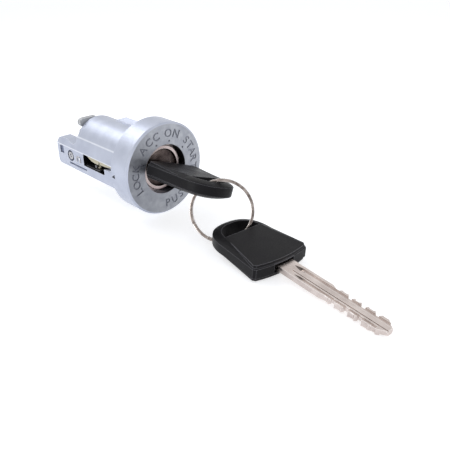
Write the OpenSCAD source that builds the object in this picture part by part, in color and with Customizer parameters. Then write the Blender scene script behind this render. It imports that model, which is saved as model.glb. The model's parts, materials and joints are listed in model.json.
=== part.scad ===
// Ignition lock cylinder with its two keys on a split ring, in millimetres.
// The lock's axis lies along Y, its face looks towards -Y, and the origin is
// on that axis at the middle of the round head. Depths are counted from the face.

/* [Head] */
// Diameter of the round head
head_d = 43; // [41:0.5:47]
// Depth of the head from its face to its shoulder
head_depth = 12; // [10.5:0.5:15]
// Chamfer round the face
face_chamfer = 0.9; // [0.4:0.1:1.4]
// Diameter of the opening that the sleeve sits in
mouth_d = 23; // [22:0.5:25]

/* [Tube] */
// Diameter of the tube behind the head
tube_d = 27; // [26:0.5:29]
// Distance from the inserted key's tip to the tube's back end
tube_tail = 7; // [6.8:0.1:10]
// Diameter of the bore that guides the sleeve
bore_d = 18.1; // [18:0.1:18.6]
// Height of the guide rib above the tube
rib_height = 2.6; // [1.5:0.1:3.5]
// Width of the guide rib
rib_width = 6; // [4:0.5:9]
// Distance from the face to the rib's back end
rib_end = 41; // [34:1:46]
// Angle of the rib round the tube from the +X side
rib_angle = 64; // [50:1:90]

/* [Rail] */
// Distance from the axis to the rail's outer side
rail_side = 14.5; // [14.2:0.1:16]
// Length of the rail behind the tube
rail_tail = 17; // [14:0.5:22]
// Depth of the rail's underside below the axis
rail_drop = 12.3; // [11.5:0.1:13.5]
// Height of the crease where the rail leaves the tube
crease_height = 5.4; // [4:0.1:6.5]
// Height of the rail's top behind the tube
rail_top = 2.4; // [1:0.1:4]
// Width of the rail behind the tube
rail_width = 6.5; // [5:0.1:8]
// Length of the window in the rail's side
window_length = 18; // [14:0.5:20]
// Height of the window
window_height = 6; // [4.5:0.1:6.5]
// Depth of the window's pocket
window_depth = 3.9; // [3:0.1:4.2]
// Distance from the face to the window's front end
window_start = 28.5; // [26:0.5:32]
// Diameter of the retaining pin's hole
pin_hole_d = 5.8; // [5:0.1:6.2]
// Diameter of the retaining pin
pin_d = 4; // [3:0.1:4.4]
// Travel of the retaining pin
pin_travel = 1.5; // [1:0.1:2]

/* [Sleeve and plug] */
// Recess of the sleeve behind the face
sleeve_recess = 2.8; // [1.5:0.1:3.2]
// Thickness of the sleeve's front flange
flange_thickness = 4; // [3:0.1:5]
// Travel of the sleeve when the key is pushed
push_travel = 2.5; // [1.5:0.1:2.6]
// Diameter of the key plug
plug_d = 14.8; // [14.6:0.1:15.2]
// Diameter of the disc on the plug's front
disc_d = 17.6; // [17:0.1:18.4]
// Length of the free space for the sleeve's spring
spring_space = 6; // [5.6:0.1:7]

/* [Tumblers] */
// Number of tumblers
tumbler_count = 8; // [8:8]
// Distance between tumblers
tumbler_pitch = 2.6; // [2.5:0.05:2.8]
// Thickness of a tumbler
tumbler_thickness = 1.4; // [1.2:0.05:1.5]
// Distance from the inserted key's tip back to the first tumbler
tumbler_setback = 22.5; // [21.5:0.5:23.5]
// Travel of a tumbler when the key is out
tumbler_travel = 0.8; // [0.4:0.05:0.8]

/* [Keys] */
// Width of the key blade
blade_w = 7.8; // [7:0.1:8.2]
// Thickness of the key blade
blade_t = 2.4; // [2:0.1:2.6]
// Length of the blade from the bow's corner line to its tip
blade_length = 50; // [48:0.5:52]
// Width of the bow at its corners
bow_w = 28; // [26:0.5:30]
// Length of the bow from its corner line to its round end
bow_length = 34; // [32:0.5:36]
// Thickness of the bow
bow_t = 7; // [6:0.1:7.6]
// Gap between the bow's corner line and the lock's face
bow_gap = 3; // [2.9:0.1:5]
// Angle of the inserted key below level, on the right
key_angle = 20; // [0:1:30]
// Diameter of the split ring at the middle of its wire
ring_d = 25.7; // [25:0.1:28]
// Radial thickness of the ring's wire
ring_wire = 1.3; // [1:0.05:1.5]
// Width of the ring's two turns together
ring_width = 2; // [1.6:0.1:2.4]
// Heading of the spare key from the lock's axis
spare_heading = 4.8; // [0:0.2:10]
// Slope of the spare key down to its tip
spare_slope = 3.3; // [2.5:0.1:4.5]

/* [Hidden] */

// Fits and overruns
run_gap = 0.05;
seat_gap = 0.1;
free_gap = 0.3;
over = 1;
smooth = 96;
small_round = 32;

// Places along the axis
face_y = -head_depth / 2;
shoulder_y = head_depth / 2;
function behind(depth) = face_y + depth;
blade_reach = blade_length - bow_gap;
tube_end = blade_reach + tube_tail;
rail_end = tube_end + rail_tail;
tumbler_start = blade_reach - tumbler_setback;
tube_back = behind(tube_end);
rail_back = behind(rail_end);
head_r = head_d / 2;
tube_r = tube_d / 2;
bore_r = bore_d / 2;
mouth_r = mouth_d / 2;
chamber_depth = sleeve_recess + flange_thickness + spring_space;
floor_z = -head_r;

// Sleeve, plug and rotor
sleeve_r = bore_r - run_gap;
flange_r = mouth_r - run_gap;
flange_lip = 0.3;
nose_gap = 1.1;
nose_r = mouth_r - nose_gap;
nose_length = 1.6;
plug_r = plug_d / 2;
plug_bore_r = plug_r + run_gap;
disc_r = disc_d / 2;
disc_bore_r = disc_r + run_gap;
disc_thickness = 1.4;
disc_dome = 0.9;
disc_rim = 0.6;
disc_rim_drop = 0.4;
disc_set_share = 0.25;
dome_shares = [[0, 1], [0.33, 0.9], [0.66, 0.55]];
disc_front = sleeve_recess + disc_set_share * flange_thickness;
disc_back = disc_front + disc_thickness;
disc_pocket = disc_back + seat_gap;
rotor_thickness = 2.5;
rotor_front = tube_end - rotor_thickness - seat_gap;
plug_end = rotor_front - push_travel - seat_gap;
clip_thickness = 0.6;
clip_depth = 0.8;
clip_shoulder = 0.8;
clip_start = plug_end - clip_shoulder - clip_thickness - seat_gap;
sleeve_end = clip_start - seat_gap;
relief_start = tumbler_start - tumbler_pitch / 2;
relief_end = tumbler_start + (tumbler_count - 0.5) * tumbler_pitch;
relief_r = plug_r + tumbler_travel + seat_gap;
tang_w = 8;
tang_t = 3;
tang_length = 4;
tang_end = plug_end + tang_length;
neck_r = 6;
neck_rise = 2.5;
tongue_w = 9;
tongue_t = 3;
tongue_rise = 5;
cover_thickness = 1.2;
cover_back = tube_end + cover_thickness;
neck_end = cover_back + neck_rise;
tongue_end = neck_end + tongue_rise;
guide_r = 1.2;
guide_depth = relief_end + guide_r - seat_gap;
sleeve_wire = 0.9;
sleeve_turns = 3;
lug_z = 11.4;
lug_width = 4.2;
lug_thickness = 2.5;
lug_reach = 7.5;
lug_root = 2.6;
screw_r = 0.8;
screw_head_r = 1.1;
screw_head = 0.9;
screw_rim = 0.1;
screw_wall_share = 0.42;
screw_circle = bore_r + screw_wall_share * (tube_r - bore_r);
cover_r = screw_circle + screw_head_r + screw_rim;
screw_depth = 6;
screw_angles = [-20, 220];

// Wafer tumblers and their springs
wafer_end = plug_r - seat_gap;
wafer_half = 3;
ear_reach = 1.7;
ear_half = 0.6;
spring_length = 3.4;
spring_wire = 0.3;
spring_turns = 4;

// Head, tube and rib
tube_edge = 0.8;
rib_top_share = 0.33;
rib_run_share = 2;

// Rail details
rail_slope_foot = -1.2;
rail_corner = 1.8;
rail_edge = 0.7;
rail_notch = 1.2;
rail_notch_run = [1.8, 4.5, 7.2];
rail_back_run = [2.9, 0.9];
window_top = -1.3;
window_bottom = window_top - window_height;
retaining_setback = 12.5;
retaining_depth = rail_end - retaining_setback;
retaining_z = -5.2;
pin_hole_depth = 2.2;
pin_bore_depth = 5.4;
pin_stem = pin_bore_depth - pin_travel - free_gap;
pin_dimple = 0.8;
pin_wire = 0.4;
pin_spring_r = 1.2;
slot_setback = 6;
slot_size = [1.6, 3.5, 4.1];
slot_z = -3.7;
groove_size = [1.1, 15.9, 1.1];
groove_setback = 15.8;
groove_z = -9.2;
recess_depth = 1.2;
recess_points = [[-6.9, -4.7], [-10.3, -3.3], [-11.8, -5]];

// Lever: points are shares of the window's length and height from its front top corner
lever_shares = [[-0.33, 0.07], [0.86, 0.07], [0.83, 0.2], [0.76, 0.31], [0.66, 0.4], [0.52, 0.46],
    [0.36, 0.46], [0.345, 0.42], [0.3, 0.14], [0.255, 0.38], [-0.02, 0.35], [-0.33, 0.2]];
nose_slot_shares = [[0.05, 0.02], [-0.35, 0.02], [-0.35, 0.35], [0.05, 0.52]];
pivot_shares = [0.47, 0.68];
pivot_depth = window_start + pivot_shares[0] * window_length;
pivot_z = window_top - pivot_shares[1] * window_height;
pivot_r = 0.7;
ear_r = 1.4;
ear_half_width = 1;
lever_set = 0.9;
lever_t = 1.6;
lever_ear_t = 1;
lever_side = rail_side - lever_set;
nose_slot_depth = lever_set + lever_t + seat_gap;
lever_pin_length = 3.5;
leaf_t = 0.4;
leaf_w = 2.2;
leaf_rise = 0.25;
leaf_shares = [0.3, 0.55];

// Key details
keyway_w = blade_w + free_gap;
keyway_t = blade_t + free_gap;
keyway_room = 0.7;
keyway_end = blade_reach + keyway_room;
bow_bulge = 1.6;
bow_taper = 1.1;
bow_corner = 0.8;
bow_corner_drop = 1.2;
bow_ramp = 3;
bow_ramp_front = 0.6;
bow_soft = 0.4;
bow_ramp_drop = 1.1;
bow_soft_drop = 1.5;
arch_start_share = 0.56;
arch_power_share = 0.8;
arch_points = 22;
edge_points = 8;
slot_run = 11;
slot_start = bow_length - slot_run;
slot_wall = 3.4;
slot_corner = 0.8;
socket_depth = 12;
collar_room = 1.2;
collar_rise = 0.8;
collar_depth = 1.6;
blade_tip_run = 3.2;
blade_tip_step = 0.3;
blade_tip_half = 1.5;
left_cut_shares = [0.1, 0.8, 0.3, 1, 0.5, 0.9, 0.2, 0.7];
right_cut_shares = [0.6, 0.2, 0.9, 0.4, 1, 0.3, 0.8, 0.4];
cut_max = 1.5;
cut_pitch = 2.9;
cut_clearance = 1.2;
cut_setback = blade_tip_run + cut_clearance;
cut_top_share = 0.45;
cut_flat_share = 0.2;
wide_groove_shares = [-0.35, -0.13];
thin_groove_shares = [0.14, 0.2];
wide_groove_start = 9;
thin_groove_start = 7;
groove_depth = 0.5;
groove_floor = blade_t / 2 - groove_depth;
ring_seam = 0.12;
spare_tip_z = floor_z + blade_t / 2;

// Turned shapes: points are [radius, depth behind the face]
module turned(points, fn = smooth) {
    translate([0, face_y, 0]) rotate([-90, 0, 0])
        rotate_extrude($fn = fn) polygon(points);
}
module rod(r, from, to, fn = smooth) {
    translate([0, behind(from), 0]) rotate([-90, 0, 0])
        cylinder(r = r, h = to - from, $fn = fn);
}
// A box given by its low and high corners
module block(low, high) {
    translate(low) cube(high - low);
}
// Turns X and Z to the keyway's width and thickness directions
module on_keyway() {
    rotate([0, key_angle, 0]) children();
}

// Coil spring along Z, from 0 to its length, swept with functions
coil_steps = 10;
coil_sides = 5;
function coil_point(r, wire, len, turns, i, j) =
    let (a = 360 * i / coil_steps, b = 360 * j / coil_sides,
        z = wire / 2 + (len - wire) * i / (coil_steps * turns))
    [(r + wire / 2 * cos(b)) * cos(a), (r + wire / 2 * cos(b)) * sin(a),
        z + wire / 2 * sin(b)];
module coil(r, wire, len, turns) {
    rings = coil_steps * turns;
    points = [for (i = [0:rings]) for (j = [0:coil_sides - 1])
        coil_point(r, wire, len, turns, i, j)];
    sides = [for (i = [0:rings - 1]) for (j = [0:coil_sides - 1])
        let (k = (j + 1) % coil_sides)
        [i * coil_sides + j, i * coil_sides + k,
            (i + 1) * coil_sides + k, (i + 1) * coil_sides + j]];
    first = [for (j = [coil_sides - 1:-1:0]) j];
    last = [for (j = [0:coil_sides - 1]) rings * coil_sides + j];
    polyhedron(points, concat(sides, [first, last]));
}

// Die-cast housing: round head, tube, guide rib and side rail
module head_blank() {
    back_edge = face_chamfer / 2;
    turned([[0, 0], [head_r - face_chamfer, 0], [head_r, face_chamfer],
        [head_r, head_depth - back_edge], [head_r - back_edge, head_depth],
        [0, head_depth]]);
}
module tube_blank() {
    turned([[0, head_depth - over], [tube_r, head_depth - over],
        [tube_r, tube_end - tube_edge], [tube_r - tube_edge, tube_end], [0, tube_end]]);
}
module guide_rib() {
    rotate([0, -rib_angle, 0]) hull() {
        block([bore_r + over, shoulder_y - over, -rib_width / 2],
            [tube_r, behind(rib_end), rib_width / 2]);
        block([tube_r, shoulder_y - over, -rib_top_share * rib_width],
            [tube_r + rib_height, behind(rib_end) - rib_run_share * rib_height,
                rib_top_share * rib_width]);
    }
}
// The rail's side view, drawn as [depth behind the face, height]
module rail_side_view(top) {
    points = [[head_depth - over, top], [tube_end, top], [tube_end, rail_top],
        [tube_end + rail_notch_run[0], rail_top - rail_notch],
        [tube_end + rail_notch_run[1], rail_top - rail_notch],
        [tube_end + rail_notch_run[2], rail_top], [rail_end - rail_back_run[0], rail_top],
        [rail_end - rail_back_run[1], rail_top - rail_back_run[1]],
        [rail_end, rail_top - rail_back_run[0]],
        [rail_end, rail_corner - rail_drop], [rail_end - rail_corner, -rail_drop],
        [head_depth - over, -rail_drop]];
    translate([-rail_side - over, face_y, 0]) rotate([90, 0, 90])
        linear_extrude(rail_side + over) polygon(points);
}
// The rail's section, drawn as [x, z]
module rail_section() {
    crease_x = -sqrt(tube_r * tube_r - crease_height * crease_height);
    inner_x = -rail_side + rail_width;
    points = [[-rail_side, rail_slope_foot], [crease_x, crease_height],
        [inner_x, crease_height], [inner_x, -rail_drop],
        [-rail_side + rail_edge, -rail_drop], [-rail_side, rail_edge - rail_drop]];
    translate([0, rail_back, 0]) rotate([90, 0, 0])
        linear_extrude(rail_end) polygon(points);
}
module rail_blank() {
    intersection() {
        rail_side_view(crease_height);
        rail_section();
    }
}
// A flat shape on the rail's side, drawn as [depth, height] and cut inwards
module side_cut(points, deep) {
    translate([-rail_side - over, face_y, 0]) rotate([90, 0, 90])
        linear_extrude(deep + over) polygon(points);
}
function in_window(shares) = [for (s = shares)
    [window_start + s[0] * window_length, window_top - s[1] * window_height]];
module rail_cuts() {
    block([-rail_side - over, behind(window_start), window_bottom],
        [-rail_side + window_depth, behind(window_start + window_length), window_top]);
    side_cut(in_window(nose_slot_shares), nose_slot_depth);
    side_cut([for (p = recess_points) [window_start + p[0], window_top + p[1]]], recess_depth);
    translate([-rail_side - over, behind(retaining_depth), retaining_z])
        rotate([0, 90, 0]) {
            cylinder(d = pin_hole_d, h = over + pin_hole_depth, $fn = small_round);
            cylinder(r = pin_d / 2 + run_gap, h = over + pin_bore_depth, $fn = small_round);
        }
    translate([-rail_side - over, behind(rail_end - slot_setback), slot_z - slot_size[2] / 2])
        cube([slot_size[0] + over, slot_size[1], slot_size[2]]);
    translate([-rail_side - over, behind(window_start + groove_setback),
        groove_z - groove_size[2] / 2])
        cube([groove_size[0] + over, groove_size[1], groove_size[2]]);
}
module screw_places() {
    for (a = screw_angles) rotate([0, a, 0])
        translate([screw_circle, 0, 0]) children();
}
module housing() {
    color("lightsteelblue") difference() {
        union() {
            head_blank();
            tube_blank();
            guide_rib();
            rail_blank();
        }
        rod(mouth_r, -over, chamber_depth);
        rod(bore_r, 0, tube_end + over);
        rail_cuts();
        screw_places() rod(screw_r, tube_end - screw_depth, tube_end + over, small_round);
        guide_pin_place(guide_r);
        lever_pin_place(pivot_r);
    }
}

// Stamped cover on the tube's back end, with a lug at the upper left
module rear_cover() {
    color("gainsboro") difference() {
        union() {
            rod(cover_r, tube_end, cover_back);
            hull() {
                translate([-lug_reach, behind(tube_end), lug_z]) rotate([-90, 0, 0])
                    cylinder(d = lug_width, h = lug_thickness, $fn = small_round);
                translate([-lug_root, behind(tube_end), lug_z - lug_width / 2])
                    cube([lug_width / 2, lug_thickness, lug_width]);
            }
        }
        rod(neck_r + run_gap, tube_end - over, cover_back + over);
        screw_places() rod(screw_r, tube_end - over, cover_back + over, small_round);
        block([-rail_side, behind(tube_end) - over, -head_r],
            [-rail_side + rail_width + free_gap, behind(cover_back) + over, crease_height]);
    }
}
module cover_screws() {
    color("silver") screw_places() {
        rod(screw_r, tube_end - screw_depth, cover_back, small_round);
        rod(screw_head_r, cover_back, cover_back + screw_head, small_round);
    }
}

// Cross pin in the tube's wall that keeps the sleeve from turning and coming out
module guide_pin_place(r) {
    translate([0, behind(guide_depth), -tube_r - over]) cylinder(r = r,
        h = tube_r - bore_r + 2 * over, $fn = small_round);
}
module guide_pin() {
    color("silver") translate([0, behind(guide_depth), -tube_r + seat_gap])
        cylinder(r = guide_r, h = tube_r - relief_r - 2 * seat_gap, $fn = small_round);
}

// Sprung retaining pin in the rail's round hole
module retaining_pin() {
    color("silver") translate([-rail_side, behind(retaining_depth), retaining_z])
        rotate([0, 90, 0]) difference() {
            cylinder(d = pin_d, h = pin_stem, $fn = small_round);
            translate([0, 0, -over]) cylinder(d = pin_d / 2, h = over + pin_dimple,
                $fn = small_round);
        }
}
module retaining_spring() {
    color("dimgray") translate([-rail_side + pin_stem, behind(retaining_depth), retaining_z])
        rotate([0, 90, 0]) coil(pin_spring_r, pin_wire, pin_bore_depth - pin_stem, 3);
}

// Pale moulded lever in the window, its pivot and its flat spring
module lever_pin_place(r) {
    translate([-lever_side, behind(pivot_depth), pivot_z]) rotate([0, 90, 0])
        cylinder(r = r, h = lever_pin_length, $fn = small_round);
}
module lever_pin() {
    color("silver") lever_pin_place(pivot_r);
}
module key_lever() {
    ear_x = lever_t - seat_gap;
    color("ivory") difference() {
        union() {
            translate([-lever_side, face_y, 0]) rotate([90, 0, 90])
                linear_extrude(lever_t) polygon(in_window(lever_shares));
            translate([ear_x - lever_side, behind(pivot_depth), pivot_z]) rotate([90, 0, 90])
                linear_extrude(lever_ear_t) {
                    circle(r = ear_r, $fn = small_round);
                    translate([-ear_half_width, 0])
                        square([2 * ear_half_width, window_top - pivot_z - free_gap]);
                }
        }
        translate([-lever_side - over, behind(pivot_depth), pivot_z]) rotate([0, 90, 0])
            cylinder(r = pivot_r + run_gap, h = lever_t + lever_ear_t + 2 * over,
                $fn = small_round);
    }
}
module lever_spring() {
    from = window_start + leaf_shares[0] * window_length;
    rise = window_start + leaf_shares[1] * window_length;
    end = window_start + window_length;
    points = [[end, window_bottom], [end, window_bottom + leaf_t],
        [rise, window_bottom + leaf_t], [from, window_bottom + leaf_rise + leaf_t],
        [from, window_bottom + leaf_rise], [rise, window_bottom]];
    color("dimgray") translate([-lever_side, face_y, 0]) rotate([90, 0, 90])
        linear_extrude(leaf_w) polygon(points);
}

// Push sleeve: a flanged tube that carries the plug
module push_sleeve() {
    slot_half = guide_r + seat_gap;
    color("rosybrown") difference() {
        turned([[plug_bore_r, sleeve_recess], [nose_r - flange_lip, sleeve_recess],
            [nose_r, sleeve_recess + flange_lip], [nose_r, sleeve_recess + nose_length],
            [flange_r, sleeve_recess + nose_length],
            [flange_r, sleeve_recess + flange_thickness],
            [sleeve_r, sleeve_recess + flange_thickness], [sleeve_r, sleeve_end],
            [plug_bore_r, sleeve_end], [plug_bore_r, relief_end], [relief_r, relief_end],
            [relief_r, relief_start], [plug_bore_r, relief_start]]);
        rod(disc_bore_r, sleeve_recess - over, disc_pocket);
        block([-slot_half, behind(guide_depth - push_travel) - slot_half, -sleeve_r - over],
            [slot_half, behind(guide_depth) + slot_half, -plug_r]);
    }
}
module sleeve_spring() {
    color("dimgray") translate([0, behind(sleeve_recess + flange_thickness), 0])
        rotate([-90, 0, 0]) coil((mouth_r + sleeve_r) / 2, sleeve_wire, spring_space,
            sleeve_turns);
}

// Key plug with its keyway, tumbler slots and drive tang
function wafer_y(i) = behind(tumbler_start + i * tumbler_pitch);
function wafer_side(i) = i % 2 == 0 ? 1 : -1;
module wafer_slot(i) {
    side = wafer_side(i);
    half = (tumbler_thickness + seat_gap) / 2;
    room = seat_gap / 2;
    translate([0, wafer_y(i), 0]) {
        block([-plug_r - over, -half, -wafer_half - room],
            [plug_r + over, half, wafer_half + room]);
        mirror([side > 0 ? 0 : 1, 0, 0])
            block([-ear_half - tumbler_travel - room, -half, 0],
                [ear_half + spring_length, half, wafer_half + ear_reach + seat_gap]);
    }
}
module key_plug() {
    color("gray") on_keyway() difference() {
        union() {
            rod(plug_r, disc_back, plug_end);
            block([-tang_t / 2, behind(plug_end) - over, -tang_w / 2],
                [tang_t / 2, behind(tang_end), tang_w / 2]);
        }
        block([-keyway_w / 2, face_y, -keyway_t / 2],
            [keyway_w / 2, behind(keyway_end), keyway_t / 2]);
        for (i = [0:tumbler_count - 1]) wafer_slot(i);
        difference() {
            rod(plug_r + over, clip_start, plug_end - clip_shoulder);
            rod(plug_r - clip_depth, 0, tube_end);
        }
    }
}
module plug_clip() {
    color("dimgray") difference() {
        rod(plug_r + clip_depth, clip_start, clip_start + clip_thickness);
        rod(plug_r - clip_depth + run_gap, 0, tube_end);
        block([-plug_r / 2, 0, 0], [plug_r / 2, tube_back, tube_r]);
    }
}
// Domed steel disc that closes the plug's front round the keyway
module face_disc() {
    color("dimgray") on_keyway() difference() {
        turned(concat([for (s = dome_shares) [s[0] * disc_r, disc_front - s[1] * disc_dome]],
            [[disc_r - disc_rim, disc_front], [disc_r, disc_front + disc_rim_drop],
                [disc_r, disc_back], [0, disc_back]]));
        block([-keyway_w / 2, face_y, -keyway_t / 2],
            [keyway_w / 2, behind(disc_pocket), keyway_t / 2]);
    }
}
module tumbler(i) {
    side = wafer_side(i);
    half = tumbler_thickness / 2;
    window = blade_w / 2 + tumbler_travel / 2 + seat_gap;
    color("goldenrod") on_keyway() translate([0, wafer_y(i), 0])
        mirror([side > 0 ? 0 : 1, 0, 0]) difference() {
            union() {
                intersection() {
                    translate([0, half, 0]) rotate([90, 0, 0])
                        cylinder(r = wafer_end, h = tumbler_thickness, $fn = smooth);
                    block([-plug_r, -half, -wafer_half], [plug_r, half, wafer_half]);
                }
                block([-ear_half, -half, 0], [ear_half, half, wafer_half + ear_reach]);
            }
            block([-window, -half - over, -keyway_t / 2],
                [window, half + over, keyway_t / 2]);
        }
}
module tumbler_spring(i) {
    side = wafer_side(i);
    color("dimgray") on_keyway()
        translate([side * ear_half, wafer_y(i), wafer_half + ear_reach / 2 + seat_gap])
            rotate([0, side * 90, 0]) coil((tumbler_thickness - spring_wire) / 2, spring_wire,
                spring_length, spring_turns);
}

// Rotor behind the plug, with the tongue that turns the electrical switch
module rotor() {
    color("silver") on_keyway() difference() {
        union() {
            rod(sleeve_r, rotor_front, tube_end - seat_gap / 2);
            rod(neck_r, rotor_front, neck_end);
            block([-tongue_t / 2, behind(neck_end) - over, -tongue_w / 2],
                [tongue_t / 2, behind(tongue_end), tongue_w / 2]);
        }
        block([-tang_t / 2 - seat_gap, behind(rotor_front) - over, -tang_w / 2 - seat_gap],
            [tang_t / 2 + seat_gap, behind(tang_end + push_travel) + seat_gap,
                tang_w / 2 + seat_gap]);
    }
}

// Key shapes, with the corner line on X, the blade along +Y and the faces along Z
arch_t = bow_length * arch_start_share;
function signed_power(v, p) = (v < 0 ? -1 : 1) * pow(abs(v), p);
function arch_point(a, half, reach) = [half * signed_power(cos(a), arch_power_share),
    -arch_t - reach * pow(sin(a), arch_power_share)];
function arch(half, reach) = [for (i = [0:arch_points])
    arch_point(180 * i / arch_points, half, reach)];
function bow_outline(front, back) = let (half = bow_w / 2 - front)
    concat([for (i = [0:edge_points]) let (s = 1 - 2 * i / edge_points)
        [-s * (half - bow_corner), bow_bulge * (1 - s * s) - front]],
        [[half, -bow_corner_drop - front]],
        arch(bow_w / 2 - bow_taper - back, bow_length - arch_t - back),
        [[-half, -bow_corner_drop - front]]);
// The bow's body: outlines stacked at six heights, with a ramp round each face that widens
// from the blade's end to the arch
module bow_body() {
    side_z = bow_t / 2 - bow_soft_drop;
    soft_z = bow_t / 2 - bow_ramp_drop;
    levels = [[-bow_t / 2, bow_ramp_front, bow_ramp], [-soft_z, bow_soft, bow_soft],
        [-side_z, 0, 0], [side_z, 0, 0], [soft_z, bow_soft, bow_soft],
        [bow_t / 2, bow_ramp_front, bow_ramp]];
    rings = [for (v = levels) bow_outline(v[1], v[2])];
    n = len(rings[0]);
    m = len(levels);
    points = [for (k = [0:m - 1]) for (p = rings[k]) [p[0], p[1], levels[k][0]]];
    sides = [for (k = [0:m - 2]) for (i = [0:n - 1]) let (j = (i + 1) % n)
        [k * n + i, k * n + j, (k + 1) * n + j, (k + 1) * n + i]];
    bottom = [for (i = [n - 1:-1:0]) i];
    top = [for (i = [0:n - 1]) (m - 1) * n + i];
    polyhedron(points, concat(sides, [bottom, top]));
}
module bow_slot() {
    side = bow_w / 2 - slot_wall - slot_corner;
    translate([0, 0, -bow_t]) linear_extrude(bow_t + bow_t) intersection() {
        polygon(arch(bow_w / 2 - bow_taper - slot_wall, bow_length - arch_t - slot_wall));
        translate([-side, -bow_length]) square([2 * side, bow_length - slot_start]);
    }
}
module bow() {
    collar_x = blade_w / 2 + collar_room;
    collar_z = blade_t / 2 + collar_rise;
    difference() {
        bow_body();
        bow_slot();
        block([-blade_w / 2, -socket_depth, -blade_t / 2],
            [blade_w / 2, bow_bulge + over, blade_t / 2]);
        block([-collar_x, bow_bulge - collar_depth, -collar_z],
            [collar_x, bow_bulge + over, collar_z]);
    }
}
// The cuts along one edge, from the tip back to the bow
function cut_edge(shares, side) = [for (i = [0:len(shares) - 1])
    let (y = blade_length - cut_setback - i * cut_pitch, edge = side * blade_w / 2,
        x = edge - side * cut_max * shares[i])
    each [[edge, y + cut_top_share * cut_pitch], [x, y + cut_flat_share * cut_pitch],
        [x, y - cut_flat_share * cut_pitch]]];
function reversed(v) = [for (i = [len(v) - 1:-1:0]) v[i]];
module blade_groove(shares, start) {
    block([shares[0] * blade_w, start, groove_floor],
        [shares[1] * blade_w, blade_length + over, blade_t]);
}
module blade() {
    half = blade_w / 2;
    run_out = blade_length - cut_setback - len(left_cut_shares) * cut_pitch;
    outline = concat([[half, -socket_depth], [half, run_out]],
        reversed(cut_edge(right_cut_shares, 1)),
        [[half - blade_tip_step, blade_length - blade_tip_run], [blade_tip_half, blade_length],
            [-blade_tip_half, blade_length],
            [blade_tip_step - half, blade_length - blade_tip_run]],
        cut_edge(left_cut_shares, -1), [[-half, run_out], [-half, -socket_depth]]);
    difference() {
        translate([0, 0, -blade_t / 2]) linear_extrude(blade_t) polygon(outline);
        for (turn = [0, 180]) rotate([0, turn, 0]) {
            blade_groove(wide_groove_shares, wide_groove_start);
            blade_groove(thin_groove_shares, thin_groove_start);
        }
    }
}
module inserted_key() {
    translate([0, behind(-bow_gap), 0]) on_keyway() children();
}

// Where the ring runs through each bow's slot: [across the bow, behind the slot's edge].
// The spare key's place follows from the floor and from the ring's chord between the slots.
key_pass = [-3.8, 2.7];
spare_pass = [-4.45, 3.3];
pass_step = 7.7;
pass_chord = 25.6;
ring_roll = 64.6;
ring_on_key = [key_pass[0], slot_start + key_pass[1]];
ring_on_spare = [spare_pass[0], slot_start + spare_pass[1]];
slot_a = [ring_on_key[0] * cos(key_angle), behind(-bow_gap) - ring_on_key[1],
    -ring_on_key[0] * sin(key_angle)];
spare_across = [-cos(spare_heading), sin(spare_heading), 0];
spare_along = [-sin(spare_heading) * cos(spare_slope), -cos(spare_heading) * cos(spare_slope),
    -sin(spare_slope)];
spare_z = spare_tip_z + blade_length * sin(spare_slope);
pass_drop = spare_z + ring_on_spare[1] * sin(spare_slope) - slot_a[2];
pass_run = sqrt(max(0, pass_chord * pass_chord - pass_step * pass_step - pass_drop * pass_drop));
slot_b = slot_a + [pass_step, -pass_run, pass_drop];
spare_origin = slot_b - ring_on_spare[0] * spare_across + ring_on_spare[1] * spare_along;
spare_turn = [-spare_slope, 0, 180 - spare_heading];
module spare_key() {
    translate(spare_origin) rotate(spare_turn) children();
}
function unit(v) = v / norm(v);
chord = slot_b - slot_a;
chord_side = unit(cross(unit(chord), [0, 0, 1]));
chord_down = cross(unit(chord), chord_side);
ring_out = cos(ring_roll) * chord_side + sin(ring_roll) * chord_down;
ring_r = ring_d / 2;
ring_centre = (slot_a + slot_b) / 2
    + ring_out * sqrt(max(0, ring_r * ring_r - norm(chord) * norm(chord) / 4));
ring_normal = cross(unit(chord), ring_out);
module key_ring() {
    color("silver") translate(ring_centre)
        rotate([0, acos(ring_normal[2]), atan2(ring_normal[1], ring_normal[0])])
            rotate_extrude($fn = smooth) difference() {
                translate([ring_r - ring_wire / 2, -ring_width / 2])
                    square([ring_wire, ring_width]);
                translate([ring_r + ring_wire / 2 - ring_seam, -ring_seam / 2])
                    square([2 * ring_seam, ring_seam]);
            }
}
module key_bow() {
    color("dimgray") inserted_key() bow();
}
module key_blade() {
    color("silver") inserted_key() blade();
}
module spare_bow() {
    color("dimgray") spare_key() bow();
}
module spare_blade() {
    color("silver") spare_key() blade();
}

housing();
rear_cover();
cover_screws();
guide_pin();
retaining_pin();
retaining_spring();
key_lever();
lever_pin();
lever_spring();
push_sleeve();
sleeve_spring();
key_plug();
face_disc();
plug_clip();
rotor();
tumbler(0);  // tumbler_1
tumbler(1);  // tumbler_2
tumbler(2);  // tumbler_3
tumbler(3);  // tumbler_4
tumbler(4);  // tumbler_5
tumbler(5);  // tumbler_6
tumbler(6);  // tumbler_7
tumbler(7);  // tumbler_8
tumbler_spring(0);  // tumbler_spring_1
tumbler_spring(1);  // tumbler_spring_2
tumbler_spring(2);  // tumbler_spring_3
tumbler_spring(3);  // tumbler_spring_4
tumbler_spring(4);  // tumbler_spring_5
tumbler_spring(5);  // tumbler_spring_6
tumbler_spring(6);  // tumbler_spring_7
tumbler_spring(7);  // tumbler_spring_8
key_bow();
key_blade();
key_ring();
spare_bow();
spare_blade();
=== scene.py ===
# %% [markdown]
# # An ignition lock with its keys
#
# The object is a die-cast ignition lock from a steering column. One key stands
# in it, and a spare key hangs on the same split ring and lies on the table.
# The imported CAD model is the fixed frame: every piece made here sits on it, in
# metres, with the lock's axis along Y and its lettered face towards -Y.

# %% The frame and its box
import json
import math

import bmesh
import bpy
from mathutils import Matrix, Vector

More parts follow.
